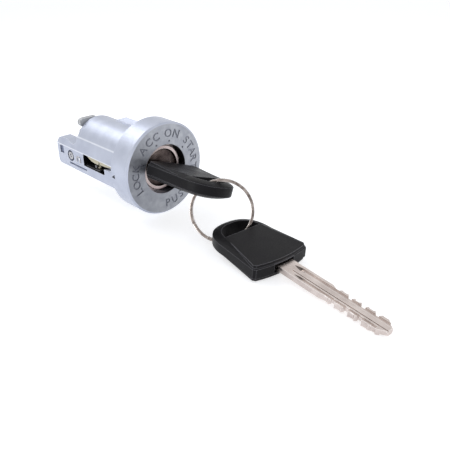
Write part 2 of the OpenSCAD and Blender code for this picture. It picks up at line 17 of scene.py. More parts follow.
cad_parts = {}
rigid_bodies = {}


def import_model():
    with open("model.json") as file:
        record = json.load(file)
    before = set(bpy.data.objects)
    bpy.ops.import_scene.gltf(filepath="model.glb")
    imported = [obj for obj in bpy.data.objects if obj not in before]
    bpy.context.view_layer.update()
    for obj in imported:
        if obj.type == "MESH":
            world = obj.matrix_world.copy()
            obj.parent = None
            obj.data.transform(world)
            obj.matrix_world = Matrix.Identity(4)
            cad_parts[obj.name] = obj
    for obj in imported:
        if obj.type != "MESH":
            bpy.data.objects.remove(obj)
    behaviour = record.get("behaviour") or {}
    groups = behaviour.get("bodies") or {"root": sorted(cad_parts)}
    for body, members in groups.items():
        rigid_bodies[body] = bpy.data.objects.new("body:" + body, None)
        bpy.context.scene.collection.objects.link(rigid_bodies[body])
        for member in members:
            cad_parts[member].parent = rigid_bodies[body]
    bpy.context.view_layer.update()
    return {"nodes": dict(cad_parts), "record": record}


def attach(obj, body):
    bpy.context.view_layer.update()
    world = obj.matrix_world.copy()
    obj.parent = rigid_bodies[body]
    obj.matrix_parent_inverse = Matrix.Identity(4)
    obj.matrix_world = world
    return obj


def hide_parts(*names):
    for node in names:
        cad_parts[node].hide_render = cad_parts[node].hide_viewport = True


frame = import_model()
nodes = frame["nodes"]
mm = 0.001

# %% [markdown]
# ## Places that several pieces share
#
# The head's face is the plane that the lettering is cut into. The keyway is
# turned twenty degrees, and so is the key that stands in it. A matrix for each
# key lets one modelling step serve both keys: in its own frame a blade runs
# along +Y, lies flat in the XY plane and is centred on the origin in X and Z.

# %% Shared places
scene = bpy.context.scene
face_y = -6 * mm
floor_z = -21.5 * mm
key_start, keyway_turn = Vector((0, -9, 0)) * mm, math.radians(20)
key_frame = Matrix.Translation(key_start) @ Matrix.Rotation(keyway_turn, 4, "Y")
spare_start = Vector((-2.5023, -77.8116, -17.4218)) * mm
spare_heading, spare_dip = math.radians(175.2), math.radians(-3.3)
spare_frame = (Matrix.Translation(spare_start) @ Matrix.Rotation(spare_heading, 4, "Z")
               @ Matrix.Rotation(spare_dip, 4, "X"))
ring_centre = Vector((-0.44405, -42.9288, -8.06152)) * mm
ring_normal = Vector((0.708309, 0.630428, -0.317582)).normalized()
ring_r = 12.85 * mm
print("face at y =", round(face_y / mm, 1), "mm; spare key starts at",
      [round(v / mm, 1) for v in spare_start], "mm")

# %% [markdown]
# ## The camera
#
# The photograph looks down at the lock's face from the front left. The place,
# the two directions and the lens come from matching the head's circle, the
# rail's corners and both keys. A camera looks along its own -Z, with +Y up, so
# two directions are enough to build its rotation.

# %% The camera
camera_place = (-0.1466, -0.1951, 0.0946)
camera_ahead, camera_up = (0.619, 0.637, -0.46), (0.323, 0.328, 0.888)


def look_matrix(place, ahead, up):
    """A matrix from where a camera or lamp stands, what it looks along and its up side."""
    back = -Vector(ahead).normalized()
    side = Vector(up).cross(back).normalized()
    top = back.cross(side)
    turn = Matrix((side, top, back)).transposed().to_4x4()
    return Matrix.Translation(Vector(place)) @ turn


camera_data = bpy.data.cameras.new("photo_camera")
camera_data.sensor_width = 36
camera_data.lens = 45.14
camera_data.clip_start = 0.01
camera = bpy.data.objects.new("photo_camera", camera_data)
camera.matrix_world = look_matrix(camera_place, camera_ahead, camera_up)
scene.collection.objects.link(camera)
scene.camera = camera
print("camera lens:", round(camera_data.lens, 2))

# %% [markdown]
# ## The lamps
#
# A satin casting shows its form by broad reflections. One lamp stands above
# and behind, where it draws a bright strip along the tube and the head's rim
# and leaves the lettered face a middle grey. One stands low on the left and
# lights the rail's side, and one on the right keeps the face and the bows
# readable. Each is a square soft box that faces its target.

# %% Lamps
def area_lamp(name, place, target, size, power, colour):
    data = bpy.data.lights.new(name, "AREA")
    data.size = size
    data.energy = power
    data.color = colour
    lamp = bpy.data.objects.new(name, data)
    lamp.matrix_world = look_matrix(place, Vector(target) - Vector(place), (0, 0, 1))
    scene.collection.objects.link(lamp)


area_lamp("back_light", (-0.06, 0.29, 0.36), (0, 0, 0), size=0.26, power=0.6,
          colour=(0.97, 0.98, 1))
area_lamp("left_light", (-0.45, -0.02, 0.06), (0, 0, 0), size=0.24, power=0.85,
          colour=(0.96, 0.98, 1))
area_lamp("fill_light", (0.28, -0.42, 0.20), (0, -0.03, -0.01), size=0.25, power=0.8,
          colour=(1, 0.98, 0.96))

# %% [markdown]
# ## Helpers for math nodes
#
# Masks are small sums in the shader: the larger of two, one less another, a
# range stretched to 0 to 1. Written as helpers that take sockets or numbers and
# hand back a socket, they read like the sums they are.

# %% Math helpers
def maths(tree, operation, *values):
    """The output of a Math node whose inputs are sockets or numbers."""
    node = tree.nodes.new("ShaderNodeMath")
    node.operation = operation
    for socket, value in zip(node.inputs, values):
        if isinstance(value, (int, float)):
            socket.default_value = value
        else:
            tree.links.new(value, socket)
    return node.outputs[0]


def combine(tree, operation, *masks):
    """All masks joined by one operation."""
    total = masks[0]
    for mask in masks[1:]:
        total = maths(tree, operation, total, mask)
    return total


def ranged(tree, source, low, high, to_low=0.0, to_high=1.0):
    """A clamped Map Range after a socket."""
    node = tree.nodes.new("ShaderNodeMapRange")
    node.inputs["From Min"].default_value = low
    node.inputs["From Max"].default_value = high
    node.inputs["To Min"].default_value = to_low
    node.inputs["To Max"].default_value = to_high
    tree.links.new(source, node.inputs["Value"])
    return node.outputs["Result"]


def bright_rays(tree):
    """A mask that is 1 for rays from the camera, mirrors and glass, and 0 for light."""
    path = tree.nodes.new("ShaderNodeLightPath")
    kinds = ("Is Camera Ray", "Is Glossy Ray", "Is Transmission Ray")
    return combine(tree, "MAXIMUM", *(path.outputs[kind] for kind in kinds))


print("helpers ready: maths, combine, ranged, bright_rays")

# %% [markdown]
# ## The world
#
# The world could simply be white, but then it would flood the casting with
# light. So it has two backgrounds: pure white for the camera and for
# reflections, and a dimmer, slightly blue one that does the lighting.

# %% World
world = bpy.data.worlds.new("studio")
scene.world = world
world.use_nodes = True
sky = world.node_tree
sky.nodes.clear()
backgrounds = []
for colour, strength in (((0.86, 0.9, 1, 1), 0.45), ((1, 1, 1, 1), 1)):
    background = sky.nodes.new("ShaderNodeBackground")
    background.inputs["Color"].default_value = colour
    background.inputs["Strength"].default_value = strength
    backgrounds.append(background)
pick = sky.nodes.new("ShaderNodeMixShader")
world_out = sky.nodes.new("ShaderNodeOutputWorld")
sky.links.new(bright_rays(sky), pick.inputs[0])
for background, socket in zip(backgrounds, pick.inputs[1:]):
    sky.links.new(background.outputs[0], socket)
sky.links.new(pick.outputs[0], world_out.inputs["Surface"])
print("world strengths:", [round(b.inputs["Strength"].default_value, 2) for b in backgrounds])

# %% [markdown]
# ## The floor
#
# The table is a large plane a hair below the lowest point, so that no face
# shares its plane. It is a pale matt surface that catches the shadow, with a
# glow that only the camera and reflections see, which lifts it to white.

# %% Floor
floor_gap, floor_glow = 0.05 * mm, 0.62
floor_mesh = bpy.data.meshes.new("floor")
bm = bmesh.new()
bmesh.ops.create_grid(bm, x_segments=1, y_segments=1, size=3)
bmesh.ops.translate(bm, vec=(0, 0, floor_z - floor_gap), verts=bm.verts)
bm.to_mesh(floor_mesh)
bm.free()
floor = bpy.data.objects.new("floor", floor_mesh)
scene.collection.objects.link(floor)

floor_mat = bpy.data.materials.new("pale_floor")
floor_mat.use_nodes = True
tree = floor_mat.node_tree
shader = tree.nodes["Principled BSDF"]
shader.inputs["Base Color"].default_value = (0.8, 0.8, 0.8, 1)
shader.inputs["Roughness"].default_value = 0.9
shader.inputs["Emission Color"].default_value = (1, 1, 1, 1)
tree.links.new(maths(tree, "MULTIPLY", bright_rays(tree), floor_glow),
               shader.inputs["Emission Strength"])
floor_mesh.materials.append(floor_mat)
print("floor at z =", round(floor_z / mm, 1), "mm")

# %% [markdown]
# ## Shared surface effects
#
# Cast zinc, turned steel and moulded plastic all vary a little over their
# surface. A node group gives two masks that each material uses with its own
# values: a slow cloud and a fine grain. They read Object coordinates, which are
# metres here, so their scales are large numbers.

# %% Cloud and grain masks
def new_group(name, inputs, outputs):
    """A shader node group with float inputs {name: value} and named float outputs."""
    group = bpy.data.node_groups.new(name, "ShaderNodeTree")
    for key, value in inputs.items():
        socket = group.interface.new_socket(key, in_out="INPUT", socket_type="NodeSocketFloat")
        socket.default_value = value
    for key in outputs:
        group.interface.new_socket(key, in_out="OUTPUT", socket_type="NodeSocketFloat")
    return group, group.nodes.new("NodeGroupInput"), group.nodes.new("NodeGroupOutput")


surface, surface_in, surface_out = new_group(
    "surface_masks", {"Cloud Scale": 120, "Grain Scale": 2500}, ["Cloud", "Grain"])
coords = surface.nodes.new("ShaderNodeTexCoord")
for key, detail in (("Cloud", 4), ("Grain", 3)):
    noise = surface.nodes.new("ShaderNodeTexNoise")
    noise.inputs["Detail"].default_value = detail
    surface.links.new(coords.outputs["Object"], noise.inputs["Vector"])
    surface.links.new(surface_in.outputs[key + " Scale"], noise.inputs["Scale"])
    surface.links.new(ranged(surface, noise.outputs["Fac"], 0.32, 0.68),
                      surface_out.inputs[key])
print("group:", surface.name, [s.name for s in surface.interface.items_tree])

# %% [markdown]
# Handling wears an edge bright, and an edge also catches a thin highlight, so
# the bright colour on the edges is partly real wear and partly painted
# highlight. A second group finds edges by comparing a rounded normal, from the
# Bevel node, with the true one: where the two part, the surface turns.
# Sharpness says how much they must part for a full mask.

# %% Edge mask
edges, edges_in, edges_out = new_group("edge_wear_and_highlight", {"Sharpness": 0.25}, ["Edge"])
rounded = edges.nodes.new("ShaderNodeBevel")
rounded.samples = 6
rounded.inputs["Radius"].default_value = 0.45 * mm
true_normal = edges.nodes.new("ShaderNodeNewGeometry")
same = edges.nodes.new("ShaderNodeVectorMath")
same.operation = "DOT_PRODUCT"
edges.links.new(rounded.outputs["Normal"], same.inputs[0])
edges.links.new(true_normal.outputs["Normal"], same.inputs[1])
parted = maths(edges, "SUBTRACT", 1, same.outputs["Value"])
share = maths(edges, "DIVIDE", parted, edges_in.outputs["Sharpness"])
share.node.use_clamp = True
edges.links.new(share, edges_out.inputs["Edge"])
print("group:", edges.name)

# %% [markdown]
# Turned metal, such as the disc round the key slot, has fine rings about the
# lock's axis. Their radius is the distance from the Y axis, so the pattern is
# worked out from X and Z alone. The same distance, from other lines along Y,
# serves for more masks later.

# %% Turned rings
def from_line(tree, place, x=0, z=0):
    """How far a place is from the line that runs along Y through x and z."""
    moved = tree.nodes.new("ShaderNodeVectorMath")
    moved.operation = "SUBTRACT"
    moved.inputs[1].default_value = (x, 0, z)
    tree.links.new(place, moved.inputs[0])
    flat = tree.nodes.new("ShaderNodeVectorMath")
    flat.operation = "MULTIPLY"
    flat.inputs[1].default_value = (1, 0, 1)
    tree.links.new(moved.outputs["Vector"], flat.inputs[0])
    length = tree.nodes.new("ShaderNodeVectorMath")
    length.operation = "LENGTH"
    tree.links.new(flat.outputs["Vector"], length.inputs[0])
    return length.outputs["Value"]


rings, rings_in, rings_out = new_group("turned_rings", {"Ring Scale": 5200}, ["Rings"])
coords = rings.nodes.new("ShaderNodeTexCoord")
marks = rings.nodes.new("ShaderNodeTexNoise")
marks.noise_dimensions = "1D"
marks.inputs["Detail"].default_value = 3
rings.links.new(from_line(rings, coords.outputs["Object"]), marks.inputs["W"])
rings.links.new(rings_in.outputs["Ring Scale"], marks.inputs["Scale"])
rings.links.new(ranged(rings, marks.outputs["Fac"], 0.3, 0.7), rings_out.inputs["Rings"])
print("group:", rings.name)

# %% [markdown]
# ## Metals
#
# Every metal here is the same recipe with other numbers: two close colours
# mixed by the cloud, a brighter colour on the edges that is partly wear and
# partly painted highlight, a roughness that follows the grain or the turning
# marks, and a very shallow bump. The Principled shader stays in the material,
# and its constants are set on its own sockets.

# %% The metal recipe
def mixed(tree, mask, low, high):
    """A colour mixed by a mask; low and high are colours or sockets."""
    node = tree.nodes.new("ShaderNodeMix")
    node.data_type = "RGBA"
    tree.links.new(mask, node.inputs["Factor"])
    for key, value in (("A", low), ("B", high)):
        socket = [s for s in node.inputs if s.name == key and s.type == "RGBA"][0]
        if isinstance(value, tuple):
            socket.default_value = value + (1,)
        else:
            tree.links.new(value, socket)
    return [s for s in node.outputs if s.type == "RGBA"][0]


def place_group(tree, group, **values):
    """A node that uses a group, with its own values on the group's inputs."""
    node = tree.nodes.new("ShaderNodeGroup")
    node.node_tree = group
    for key, value in values.items():
        node.inputs[key.replace("_", " ")].default_value = value
    return node


def bumped(tree, height, strength, depth):
    """A Bump node on a material's Normal; the depth is in mm."""
    raised = tree.nodes.new("ShaderNodeBump")
    raised.inputs["Strength"].default_value = strength
    raised.inputs["Distance"].default_value = depth * mm
    tree.links.new(height, raised.inputs["Height"])
    tree.links.new(raised.outputs["Normal"], tree.nodes["Principled BSDF"].inputs["Normal"])


def metal(name, dark, light, wear_and_highlight, roughness, grain=2500, cloud=120, bump=0.03, ringed=0.0,
          metallic=1.0):
    """A metal; bump and ringed are the depths of its grain or turning marks in mm."""
    mat = bpy.data.materials.new(name)
    mat.use_nodes = True
    tree = mat.node_tree
    shader = tree.nodes["Principled BSDF"]
    shader.inputs["Metallic"].default_value = metallic
    masks = place_group(tree, surface, Cloud_Scale=cloud, Grain_Scale=grain)
    edge = place_group(tree, edges)
    colour = mixed(tree, masks.outputs["Cloud"], dark, light)
    # The edges get a brighter colour: partly wear, partly painted highlight.
    tree.links.new(mixed(tree, edge.outputs["Edge"], colour, wear_and_highlight), shader.inputs["Base Color"])
    if ringed:
        relief, depth = place_group(tree, rings).outputs["Rings"], ringed
    else:
        relief, depth = masks.outputs["Grain"], bump
    tree.links.new(ranged(tree, relief, 0, 1, roughness - 0.06, roughness + 0.08),
                   shader.inputs["Roughness"])
    bumped(tree, relief, 0.6, depth)
    return mat


print("metal recipe ready")

# %% [markdown]
# The casting is blue grey and only three quarters metallic, because raw zinc
# has a dull skin. The sleeve and the disc round the key slot are turned, so
# they get rings instead of grain. The keys are warm nickel; the faces that the
# groove wheels cut get a far darker nickel, which is painted shade and a
# painted reflection of the dark bow.

# %% The metals
cast_zinc = metal("cast_zinc", (0.43, 0.46, 0.55), (0.51, 0.54, 0.63), (0.76, 0.78, 0.85),
                  0.38, grain=1400, bump=0.02, metallic=0.75)
plated = metal("plated_cover", (0.40, 0.41, 0.42), (0.47, 0.47, 0.475), (0.6, 0.6, 0.6),
               0.45, metallic=0.6)
pin_steel = metal("pin_steel", (0.34, 0.34, 0.35), (0.5, 0.5, 0.52), (0.75, 0.75, 0.78), 0.32)
spring_steel = metal("spring_steel", (0.1, 0.1, 0.11), (0.2, 0.2, 0.21), (0.4, 0.4, 0.42), 0.4)
sleeve_metal = metal("sleeve_metal", (0.38, 0.31, 0.30), (0.55, 0.47, 0.455),
                     (0.72, 0.65, 0.63), 0.26, ringed=0.012)
plug_metal = metal("plug_metal", (0.3, 0.3, 0.31), (0.42, 0.42, 0.43), (0.6, 0.6, 0.6), 0.38)
disc_steel = metal("disc_steel", (0.03, 0.022, 0.021), (0.10, 0.08, 0.075),
                   (0.22, 0.19, 0.18), 0.24, cloud=260, ringed=0.015)
rotor_metal = metal("rotor_metal", (0.45, 0.46, 0.5), (0.56, 0.57, 0.6), (0.8, 0.8, 0.82), 0.42)
wafer_brass = metal("wafer_brass", (0.5, 0.34, 0.12), (0.66, 0.48, 0.2), (0.85, 0.7, 0.4), 0.35)
key_nickel = metal("key_nickel", (0.50, 0.435, 0.41), (0.66, 0.59, 0.56), (0.86, 0.81, 0.78),
                   0.24, cloud=200, bump=0.006)
# A far darker nickel for the cut run-ins: painted shade and reflection.
groove_painted_shade = metal("groove_painted_shade", (0.07, 0.056, 0.05), (0.15, 0.125, 0.115),
                      (0.4, 0.35, 0.33), 0.3, cloud=200, bump=0.006)
ring_nickel = metal("ring_nickel", (0.13, 0.105, 0.095), (0.42, 0.37, 0.345),
                    (0.74, 0.70, 0.67), 0.2, cloud=420, bump=0.01)
# The floors of the cut hollows get this dark grey: painted shade.
recess_painted_shade = metal("recess_painted_shade", (0.16, 0.17, 0.20), (0.24, 0.25, 0.29),
                     (0.4, 0.41, 0.45), 0.5)
print("metals:", len(bpy.data.materials) - 1)

# %% [markdown]
# The head's front is painted darker and streaky beside the pale sides: the
# streaks are the metal's own uneven tone, and the darker colour is painted
# shade for the face turning away from the lamps. The mask for it is simply how
# near a point lies to the face's plane. A helper lays a new colour over the old
# one by a mask, and serves the next two steps as well.

# %% The face, painted darker as shade
tree = cast_zinc.node_tree
coords = tree.nodes.new("ShaderNodeTexCoord")
place = coords.outputs["Object"]
split = tree.nodes.new("ShaderNodeSeparateXYZ")
tree.links.new(place, split.inputs[0])


def lay_over(mask, colour):
    """Lays a colour over what the casting's Base Color has so far."""
    base = tree.nodes["Principled BSDF"].inputs["Base Color"]
    so_far = base.links[0].from_socket
    tree.links.new(mixed(tree, mask, so_far, colour), base)


on_face = ranged(tree, split.outputs["Y"], face_y + 0.06 * mm, face_y + 0.01 * mm)
painted_shade = place_group(tree, surface, Cloud_Scale=420, Grain_Scale=4200)
# The face gets a darker, streaky colour: painted shade, with its own streaks.
lay_over(on_face, mixed(tree, painted_shade.outputs["Cloud"], (0.31, 0.325, 0.365),
                        (0.40, 0.415, 0.45)))
print("ground face mask added to", cast_zinc.name)

# %% [markdown]
# Two places on the casting are painted near black as shade, where little light
# gets in and out again: the right side of the bore round the push sleeve, and
# the pocket behind the window. A mask from the distance to the axis finds the
# first, and a box of three bands the second.

# %% Painted shade in the bore and the pocket
bore_r = 11.75 * mm
painted_black_shade = (0.012, 0.012, 0.014)


def band(source, low, high, fade=0.15 * mm):
    """1 between two values of a coordinate, 0 outside, with a short fade."""
    return maths(tree, "MULTIPLY", ranged(tree, source, low - fade, low),
                 ranged(tree, source, high + fade, high))


in_bore = combine(tree, "MULTIPLY", band(from_line(tree, place), 0, bore_r),
                  ranged(tree, split.outputs["X"], -1 * mm, 4 * mm),
                  band(split.outputs["Y"], -5.6 * mm, 47 * mm, 0.3 * mm))
in_pocket = combine(tree, "MULTIPLY", band(split.outputs["X"], -14.3 * mm, -10.3 * mm),
                    band(split.outputs["Y"], 22.2 * mm, 40.8 * mm),
                    band(split.outputs["Z"], -7.5 * mm, -1.1 * mm))
# Both places are painted near black: painted shade.
lay_over(combine(tree, "MAXIMUM", in_bore, in_pocket), painted_black_shade)
print("dark masks added to", cast_zinc.name)

# %% [markdown]
# The rail's two long creases are too blunt for the edge mask, yet they show a
# thin bright line, so a painted highlight runs along them. Each is a line along
# Y, so its mask is the distance from it in X and Z. The highlight starts behind
# the head.

# %% Painted highlight on the creases
highlight_from, highlight_full = 12 * mm, 14 * mm
side_crease, top_crease = (-14.5 * mm, -1.2 * mm), (-12.37 * mm, 5.4 * mm)


def near_line(line, reach):
    """Up to 0.6 on a line along Y, falling to 0 at a reach from it."""
    return ranged(tree, from_line(tree, place, *line), reach, 0.3 * reach, 0, 0.6)


on_crease = combine(tree, "MAXIMUM", near_line(side_crease, 0.45 * mm),
                    near_line(top_crease, 0.55 * mm))
behind_head = ranged(tree, split.outputs["Y"], highlight_from, highlight_full)
# A pale colour laid along the creases: a painted highlight.
lay_over(maths(tree, "MULTIPLY", behind_head, on_crease), (0.86, 0.88, 0.93))
print("crease lines added to", cast_zinc.name)

# %% [markdown]
# ## Plastics
#
# The bows are charcoal plastic with a fine moulded grain; the lever in the
# rail's window is a cream one. Plastic is not metallic, so its detail lies in
# the grain's bump and in a roughness that changes where fingers polish it.

# %% Moulded plastic
def plastic(name, dark, light, wear_and_highlight, roughness, grain, bump, gloss):
    """A moulded plastic; bump is the depth of its grain in mm."""
    mat = bpy.data.materials.new(name)
    mat.use_nodes = True
    tree = mat.node_tree
    shader = tree.nodes["Principled BSDF"]
    shader.inputs["Specular IOR Level"].default_value = gloss
    masks = place_group(tree, surface, Cloud_Scale=90, Grain_Scale=grain)
    edge = place_group(tree, edges, Sharpness=0.12)
    colour = mixed(tree, masks.outputs["Cloud"], dark, light)
    # The edges get a bright colour: partly wear, partly painted highlight.
    tree.links.new(mixed(tree, edge.outputs["Edge"], colour, wear_and_highlight), shader.inputs["Base Color"])
    tree.links.new(ranged(tree, masks.outputs["Cloud"], 0, 1, roughness - 0.08,
                          roughness + 0.08), shader.inputs["Roughness"])
    bumped(tree, masks.outputs["Grain"], 0.7, bump)
    return mat


bow_plastic = plastic("bow_plastic", (0.009, 0.0085, 0.0095), (0.013, 0.0125, 0.014),
                      (0.15, 0.146, 0.155), 0.42, grain=2600, bump=0.05, gloss=0.1)
lever_plastic = plastic("lever_plastic", (0.56, 0.51, 0.36), (0.66, 0.61, 0.46),
                        (0.75, 0.71, 0.58), 0.5, grain=1800, bump=0.02, gloss=0.4)
print("plastics:", bow_plastic.name, lever_plastic.name)

# %% [markdown]
# ## Materials on the CAD nodes
#
# Each CAD node keeps its mesh and gets the finish of its material slot. The
# lever's pin is the one exception: it is made like the other pins, but it gets
# the dark finish of the springs, which paints it with the shade of the pocket it
# sits in.

# %% Finishes by slot
finish_of = {"cast_metal": cast_zinc, "cover_steel": plated, "pin_steel": pin_steel,
             "spring_steel": spring_steel, "lever_plastic": lever_plastic,
             "sleeve_metal": sleeve_metal, "plug_metal": plug_metal, "disc_steel": disc_steel,
             "rotor_metal": rotor_metal, "tumbler_brass": wafer_brass,
             "key_plastic": bow_plastic, "key_metal": key_nickel, "ring_metal": ring_nickel}
slot_of = {row["node"]: row["material_slot"] for row in frame["record"]["subparts"]}
for name, node in nodes.items():
    node.data.materials.clear()
    # The lever's pin is painted dark as shade of the pocket behind the window.
    finish = spring_steel if name == "lever_pin" else finish_of[slot_of[name]]
    node.data.materials.append(finish)
print("nodes dressed:", len(nodes))

# %% [markdown]
# ## Softened copies
#
# A casting has no knife edges. A copy of a CAD node is merged into a closed
# mesh, its flat faces are joined, and its sharp edges get a small rounded
# bevel, which catches the light as the real edge does. Edges flatter than
# the limit stay smooth.

# %% The softening step
crisp_angle, bevel_angle, flat_angle = (math.radians(a) for a in (32, 38, 0.4))
merge_reach = 1e-7


def mark_sharp(bm, limit=crisp_angle):
    """Smooth faces, with the edges above an angle kept crisp."""
    for f in bm.faces:
        f.smooth = True
    for e in bm.edges:
        e.smooth = len(e.link_faces) == 2 and e.calc_face_angle(0) < limit


def closed_copy(node):
    """A closed bmesh of a CAD node, whose own mesh is loose triangles."""
    bm = bmesh.new()
    bm.from_mesh(nodes[node].data)
    bmesh.ops.remove_doubles(bm, verts=bm.verts, dist=merge_reach)
    return bm


def join_flat(bm):
    """Joins the triangles that lie in one plane."""
    bmesh.ops.dissolve_limit(bm, angle_limit=flat_angle, verts=bm.verts, edges=bm.edges)
    return bm


def soften(bm, width, segments=2):
    """Rounds the edges sharper than the limit."""
    chosen = [e for e in bm.edges
              if len(e.link_faces) == 2 and e.calc_face_angle(0) > bevel_angle]
    bmesh.ops.bevel(bm, geom=chosen, offset=width, offset_type="OFFSET", segments=segments,
                    profile=0.5, affect="EDGES", clamp_overlap=True, material=-1)
    return bm


print("softening ready: edges over", round(math.degrees(bevel_angle)), "degrees")

# %% [markdown]
# A finished bmesh becomes an object at the origin, rides on the body of the
# node it stands for, and takes that node's slot and finish. The widths below
# follow how sharp each real piece is: a moulded bow is rounder than a pressed
# screw head.

# %% The softened pieces
body_of_node = {n: b for b, members in frame["record"]["behaviour"]["bodies"].items()
                for n in members}


def mesh_object(name, bm, body, replaced, slot):
    """Makes an object from a bmesh, rides it on a body and stands it for CAD nodes."""
    mark_sharp(bm)
    mesh = bpy.data.meshes.new(name)
    bm.to_mesh(mesh)
    bm.free()
    piece = bpy.data.objects.new(name, mesh)
    scene.collection.objects.link(piece)
    mesh.materials.append(finish_of[slot])
    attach(piece, body)
    if replaced:
        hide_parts(*replaced)
    return piece


for name, width in (("rear_cover", 0.25), ("cover_screws", 0.15), ("push_sleeve", 0.15),
                    ("retaining_pin", 0.2), ("key_lever", 0.12), ("rotor", 0.25),
                    ("key_bow", 0.35), ("spare_bow", 0.35)):
    piece = mesh_object(name + "_soft", soften(join_flat(closed_copy(name)), width * mm),
                        body_of_node[name], [name], slot_of[name])
    print(piece.name, "faces:", len(piece.data.polygons))

# %% [markdown]
# ## The lettered head
#
# The words round the key slot are stamped into the face. Each letter is a
# text object made into a mesh, scaled to one height, turned to its place on
# the circle and pushed into the face. One boolean then cuts all of them. Words
# read outwards round the top and sides; the word at the bottom reads the other
# way up, as on the real head. Angles are in degrees from the top.

# %% Letter solids
letter_height, letter_depth, letter_r = 3.8 * mm, 0.5 * mm, 16.55 * mm
letter_extrude, letter_offset = 0.3, 0.02
around = [("L", -113.5), ("O", -101), ("C", -88), ("K", -73.5), ("A", -46), ("C", -30.5),
          ("C", -15.5), ("O", 8), ("N", 24), ("S", 49), ("T", 61.5), ("A", 73.5), ("R", 86.5),
          ("T", 99)]
below = [("P", 179), ("U", 165), ("S", 151), ("H", 137)]


def letter_solid(sign):
    """One capital as a closed bmesh, centred on the origin in the XY plane."""
    curve = bpy.data.curves.new("letter", "FONT")
    curve.body = sign
    curve.extrude = letter_extrude
    curve.offset = letter_offset
    curve.resolution_u = 4
    holder = bpy.data.objects.new("letter", curve)
    scene.collection.objects.link(holder)
    bpy.context.view_layer.update()
    flat_mesh = bpy.data.meshes.new_from_object(
        holder.evaluated_get(bpy.context.evaluated_depsgraph_get()))
    bm = bmesh.new()
    bm.from_mesh(flat_mesh)
    bpy.data.objects.remove(holder)
    bpy.data.meshes.remove(flat_mesh)
    bmesh.ops.remove_doubles(bm, verts=bm.verts, dist=1e-5)
    low = Vector([min(v.co[i] for v in bm.verts) for i in range(3)])
    high = Vector([max(v.co[i] for v in bm.verts) for i in range(3)])
    bmesh.ops.translate(bm, vec=-(low + high) / 2, verts=bm.verts)
    scale = letter_height / (high.y - low.y)
    bmesh.ops.scale(bm, vec=(scale, scale, letter_depth / (2 * letter_extrude)),
                    verts=bm.verts)
    return bm


def on_circle(angle, radius):
    """The way out from the axis at an angle from the top, and the place on the face."""
    a = math.radians(angle)
    out = Vector((math.sin(a), 0, math.cos(a)))
    return out, out * radius + Vector((0, face_y, 0))


def letter_place(angle, tops_out):
    """The matrix that stands a letter on the face."""
    out, middle = on_circle(angle, letter_r)
    up = out if tops_out else -out
    ahead = Vector((0, -1, 0))
    turn = Matrix((up.cross(ahead), up, ahead)).transposed().to_4x4()
    return Matrix.Translation(middle) @ turn


cutter = bmesh.new()
for word, tops_out in ((around, True), (below, False)):
    for sign, angle in word:
        solid = letter_solid(sign)
        solid.transform(letter_place(angle, tops_out))
        solid_mesh = bpy.data.meshes.new("letter")
        solid.to_mesh(solid_mesh)
        solid.free()
        cutter.from_mesh(solid_mesh)
        bpy.data.meshes.remove(solid_mesh)
print("letter solids:", len(around) + len(below), "faces:", len(cutter.faces))

# %% [markdown]
# Beside the words the face has small round dots that mark the positions. The
# rail shows a thin seam line from the mould, and the head's side a small nick.
# All of them are hollows, so they join the letters' cutter as short cylinders,
# a thin block and a wedge.

# %% Position marks, the rail's seam and a nick in the head's side
mark_angles, mark_circle_r = (-68, -20.5, 12, 52), 12.9 * mm
mark_r, mark_depth = 0.5 * mm, 0.5 * mm
seam_middle, seam_size = Vector((-14.5, 16.6, -4.1)) * mm, Vector((0.4, 9, 0.16)) * mm
nick_x, nick_depth = -22, 1.1 * mm
nick_corners = ((2.9, 0.8), (5.3, -1.0), (2.6, -1.3))
for angle in mark_angles:
    out, middle = on_circle(angle, mark_circle_r)
    bmesh.ops.create_cone(cutter, cap_ends=True, segments=20, radius1=mark_r, radius2=mark_r,
                          depth=mark_depth, matrix=Matrix.Translation(middle)
                          @ Matrix.Rotation(math.radians(90), 4, "X"))
bmesh.ops.create_cube(cutter, size=1, matrix=Matrix.Translation(seam_middle)
                      @ Matrix.Diagonal((*seam_size, 1)))
corners = [cutter.verts.new(Vector((nick_x, y, z)) * mm) for y, z in nick_corners]
wedge = bmesh.ops.extrude_face_region(cutter, geom=[cutter.faces.new(corners)],
                                      use_keep_orig=True)
bmesh.ops.translate(cutter, vec=(nick_depth, 0, 0),
                    verts=[g for g in wedge["geom"] if isinstance(g, bmesh.types.BMVert)])
print("marks:", len(mark_angles), "dots, a seam and a nick")

# %% [markdown]
# A Boolean modifier with the Manifold solver makes the cut, because it leaves
# closed meshes closed. It needs a cutter whose faces point outwards, so the
# normals are worked out first. The material on the cutter's faces goes over to
# the hollows, which paints the floors of the letters, dots, seam and nick dark
# as shade.

# %% The head, softened and cut
cut_crisp_angle = math.radians(24)


def carve(piece, cutter, finish):
    """Cuts a closed bmesh out of a piece; the cut faces get their own finish."""
    cutter.normal_update()
    bmesh.ops.recalc_face_normals(cutter, faces=cutter.faces)
    tool_mesh = bpy.data.meshes.new("cutter")
    cutter.to_mesh(tool_mesh)
    cutter.free()
    tool_mesh.materials.append(finish)
    tool = bpy.data.objects.new("cutter", tool_mesh)
    scene.collection.objects.link(tool)
    cut = piece.modifiers.new("cut", "BOOLEAN")
    cut.operation = "DIFFERENCE"
    cut.solver = "MANIFOLD"
    cut.object = tool
    cut.material_mode = "TRANSFER"
    bpy.context.view_layer.update()
    carved = bpy.data.meshes.new_from_object(
        piece.evaluated_get(bpy.context.evaluated_depsgraph_get()))
    piece.modifiers.clear()
    bm = bmesh.new()
    bm.from_mesh(carved)
    mark_sharp(bm, cut_crisp_angle)
    bm.to_mesh(carved)
    bm.free()
    piece.data = carved
    bpy.data.objects.remove(tool)


head = mesh_object("housing_soft", soften(join_flat(closed_copy("housing")), 0.3 * mm, 3),
                   "housing", ["housing"], "cast_metal")
# The letters, dots, seam and nick get dark floors: painted shade.
carve(head, cutter, recess_painted_shade)
print("housing faces after cutting:", len(head.data.polygons),
      "materials:", [m.name for m in head.data.materials])

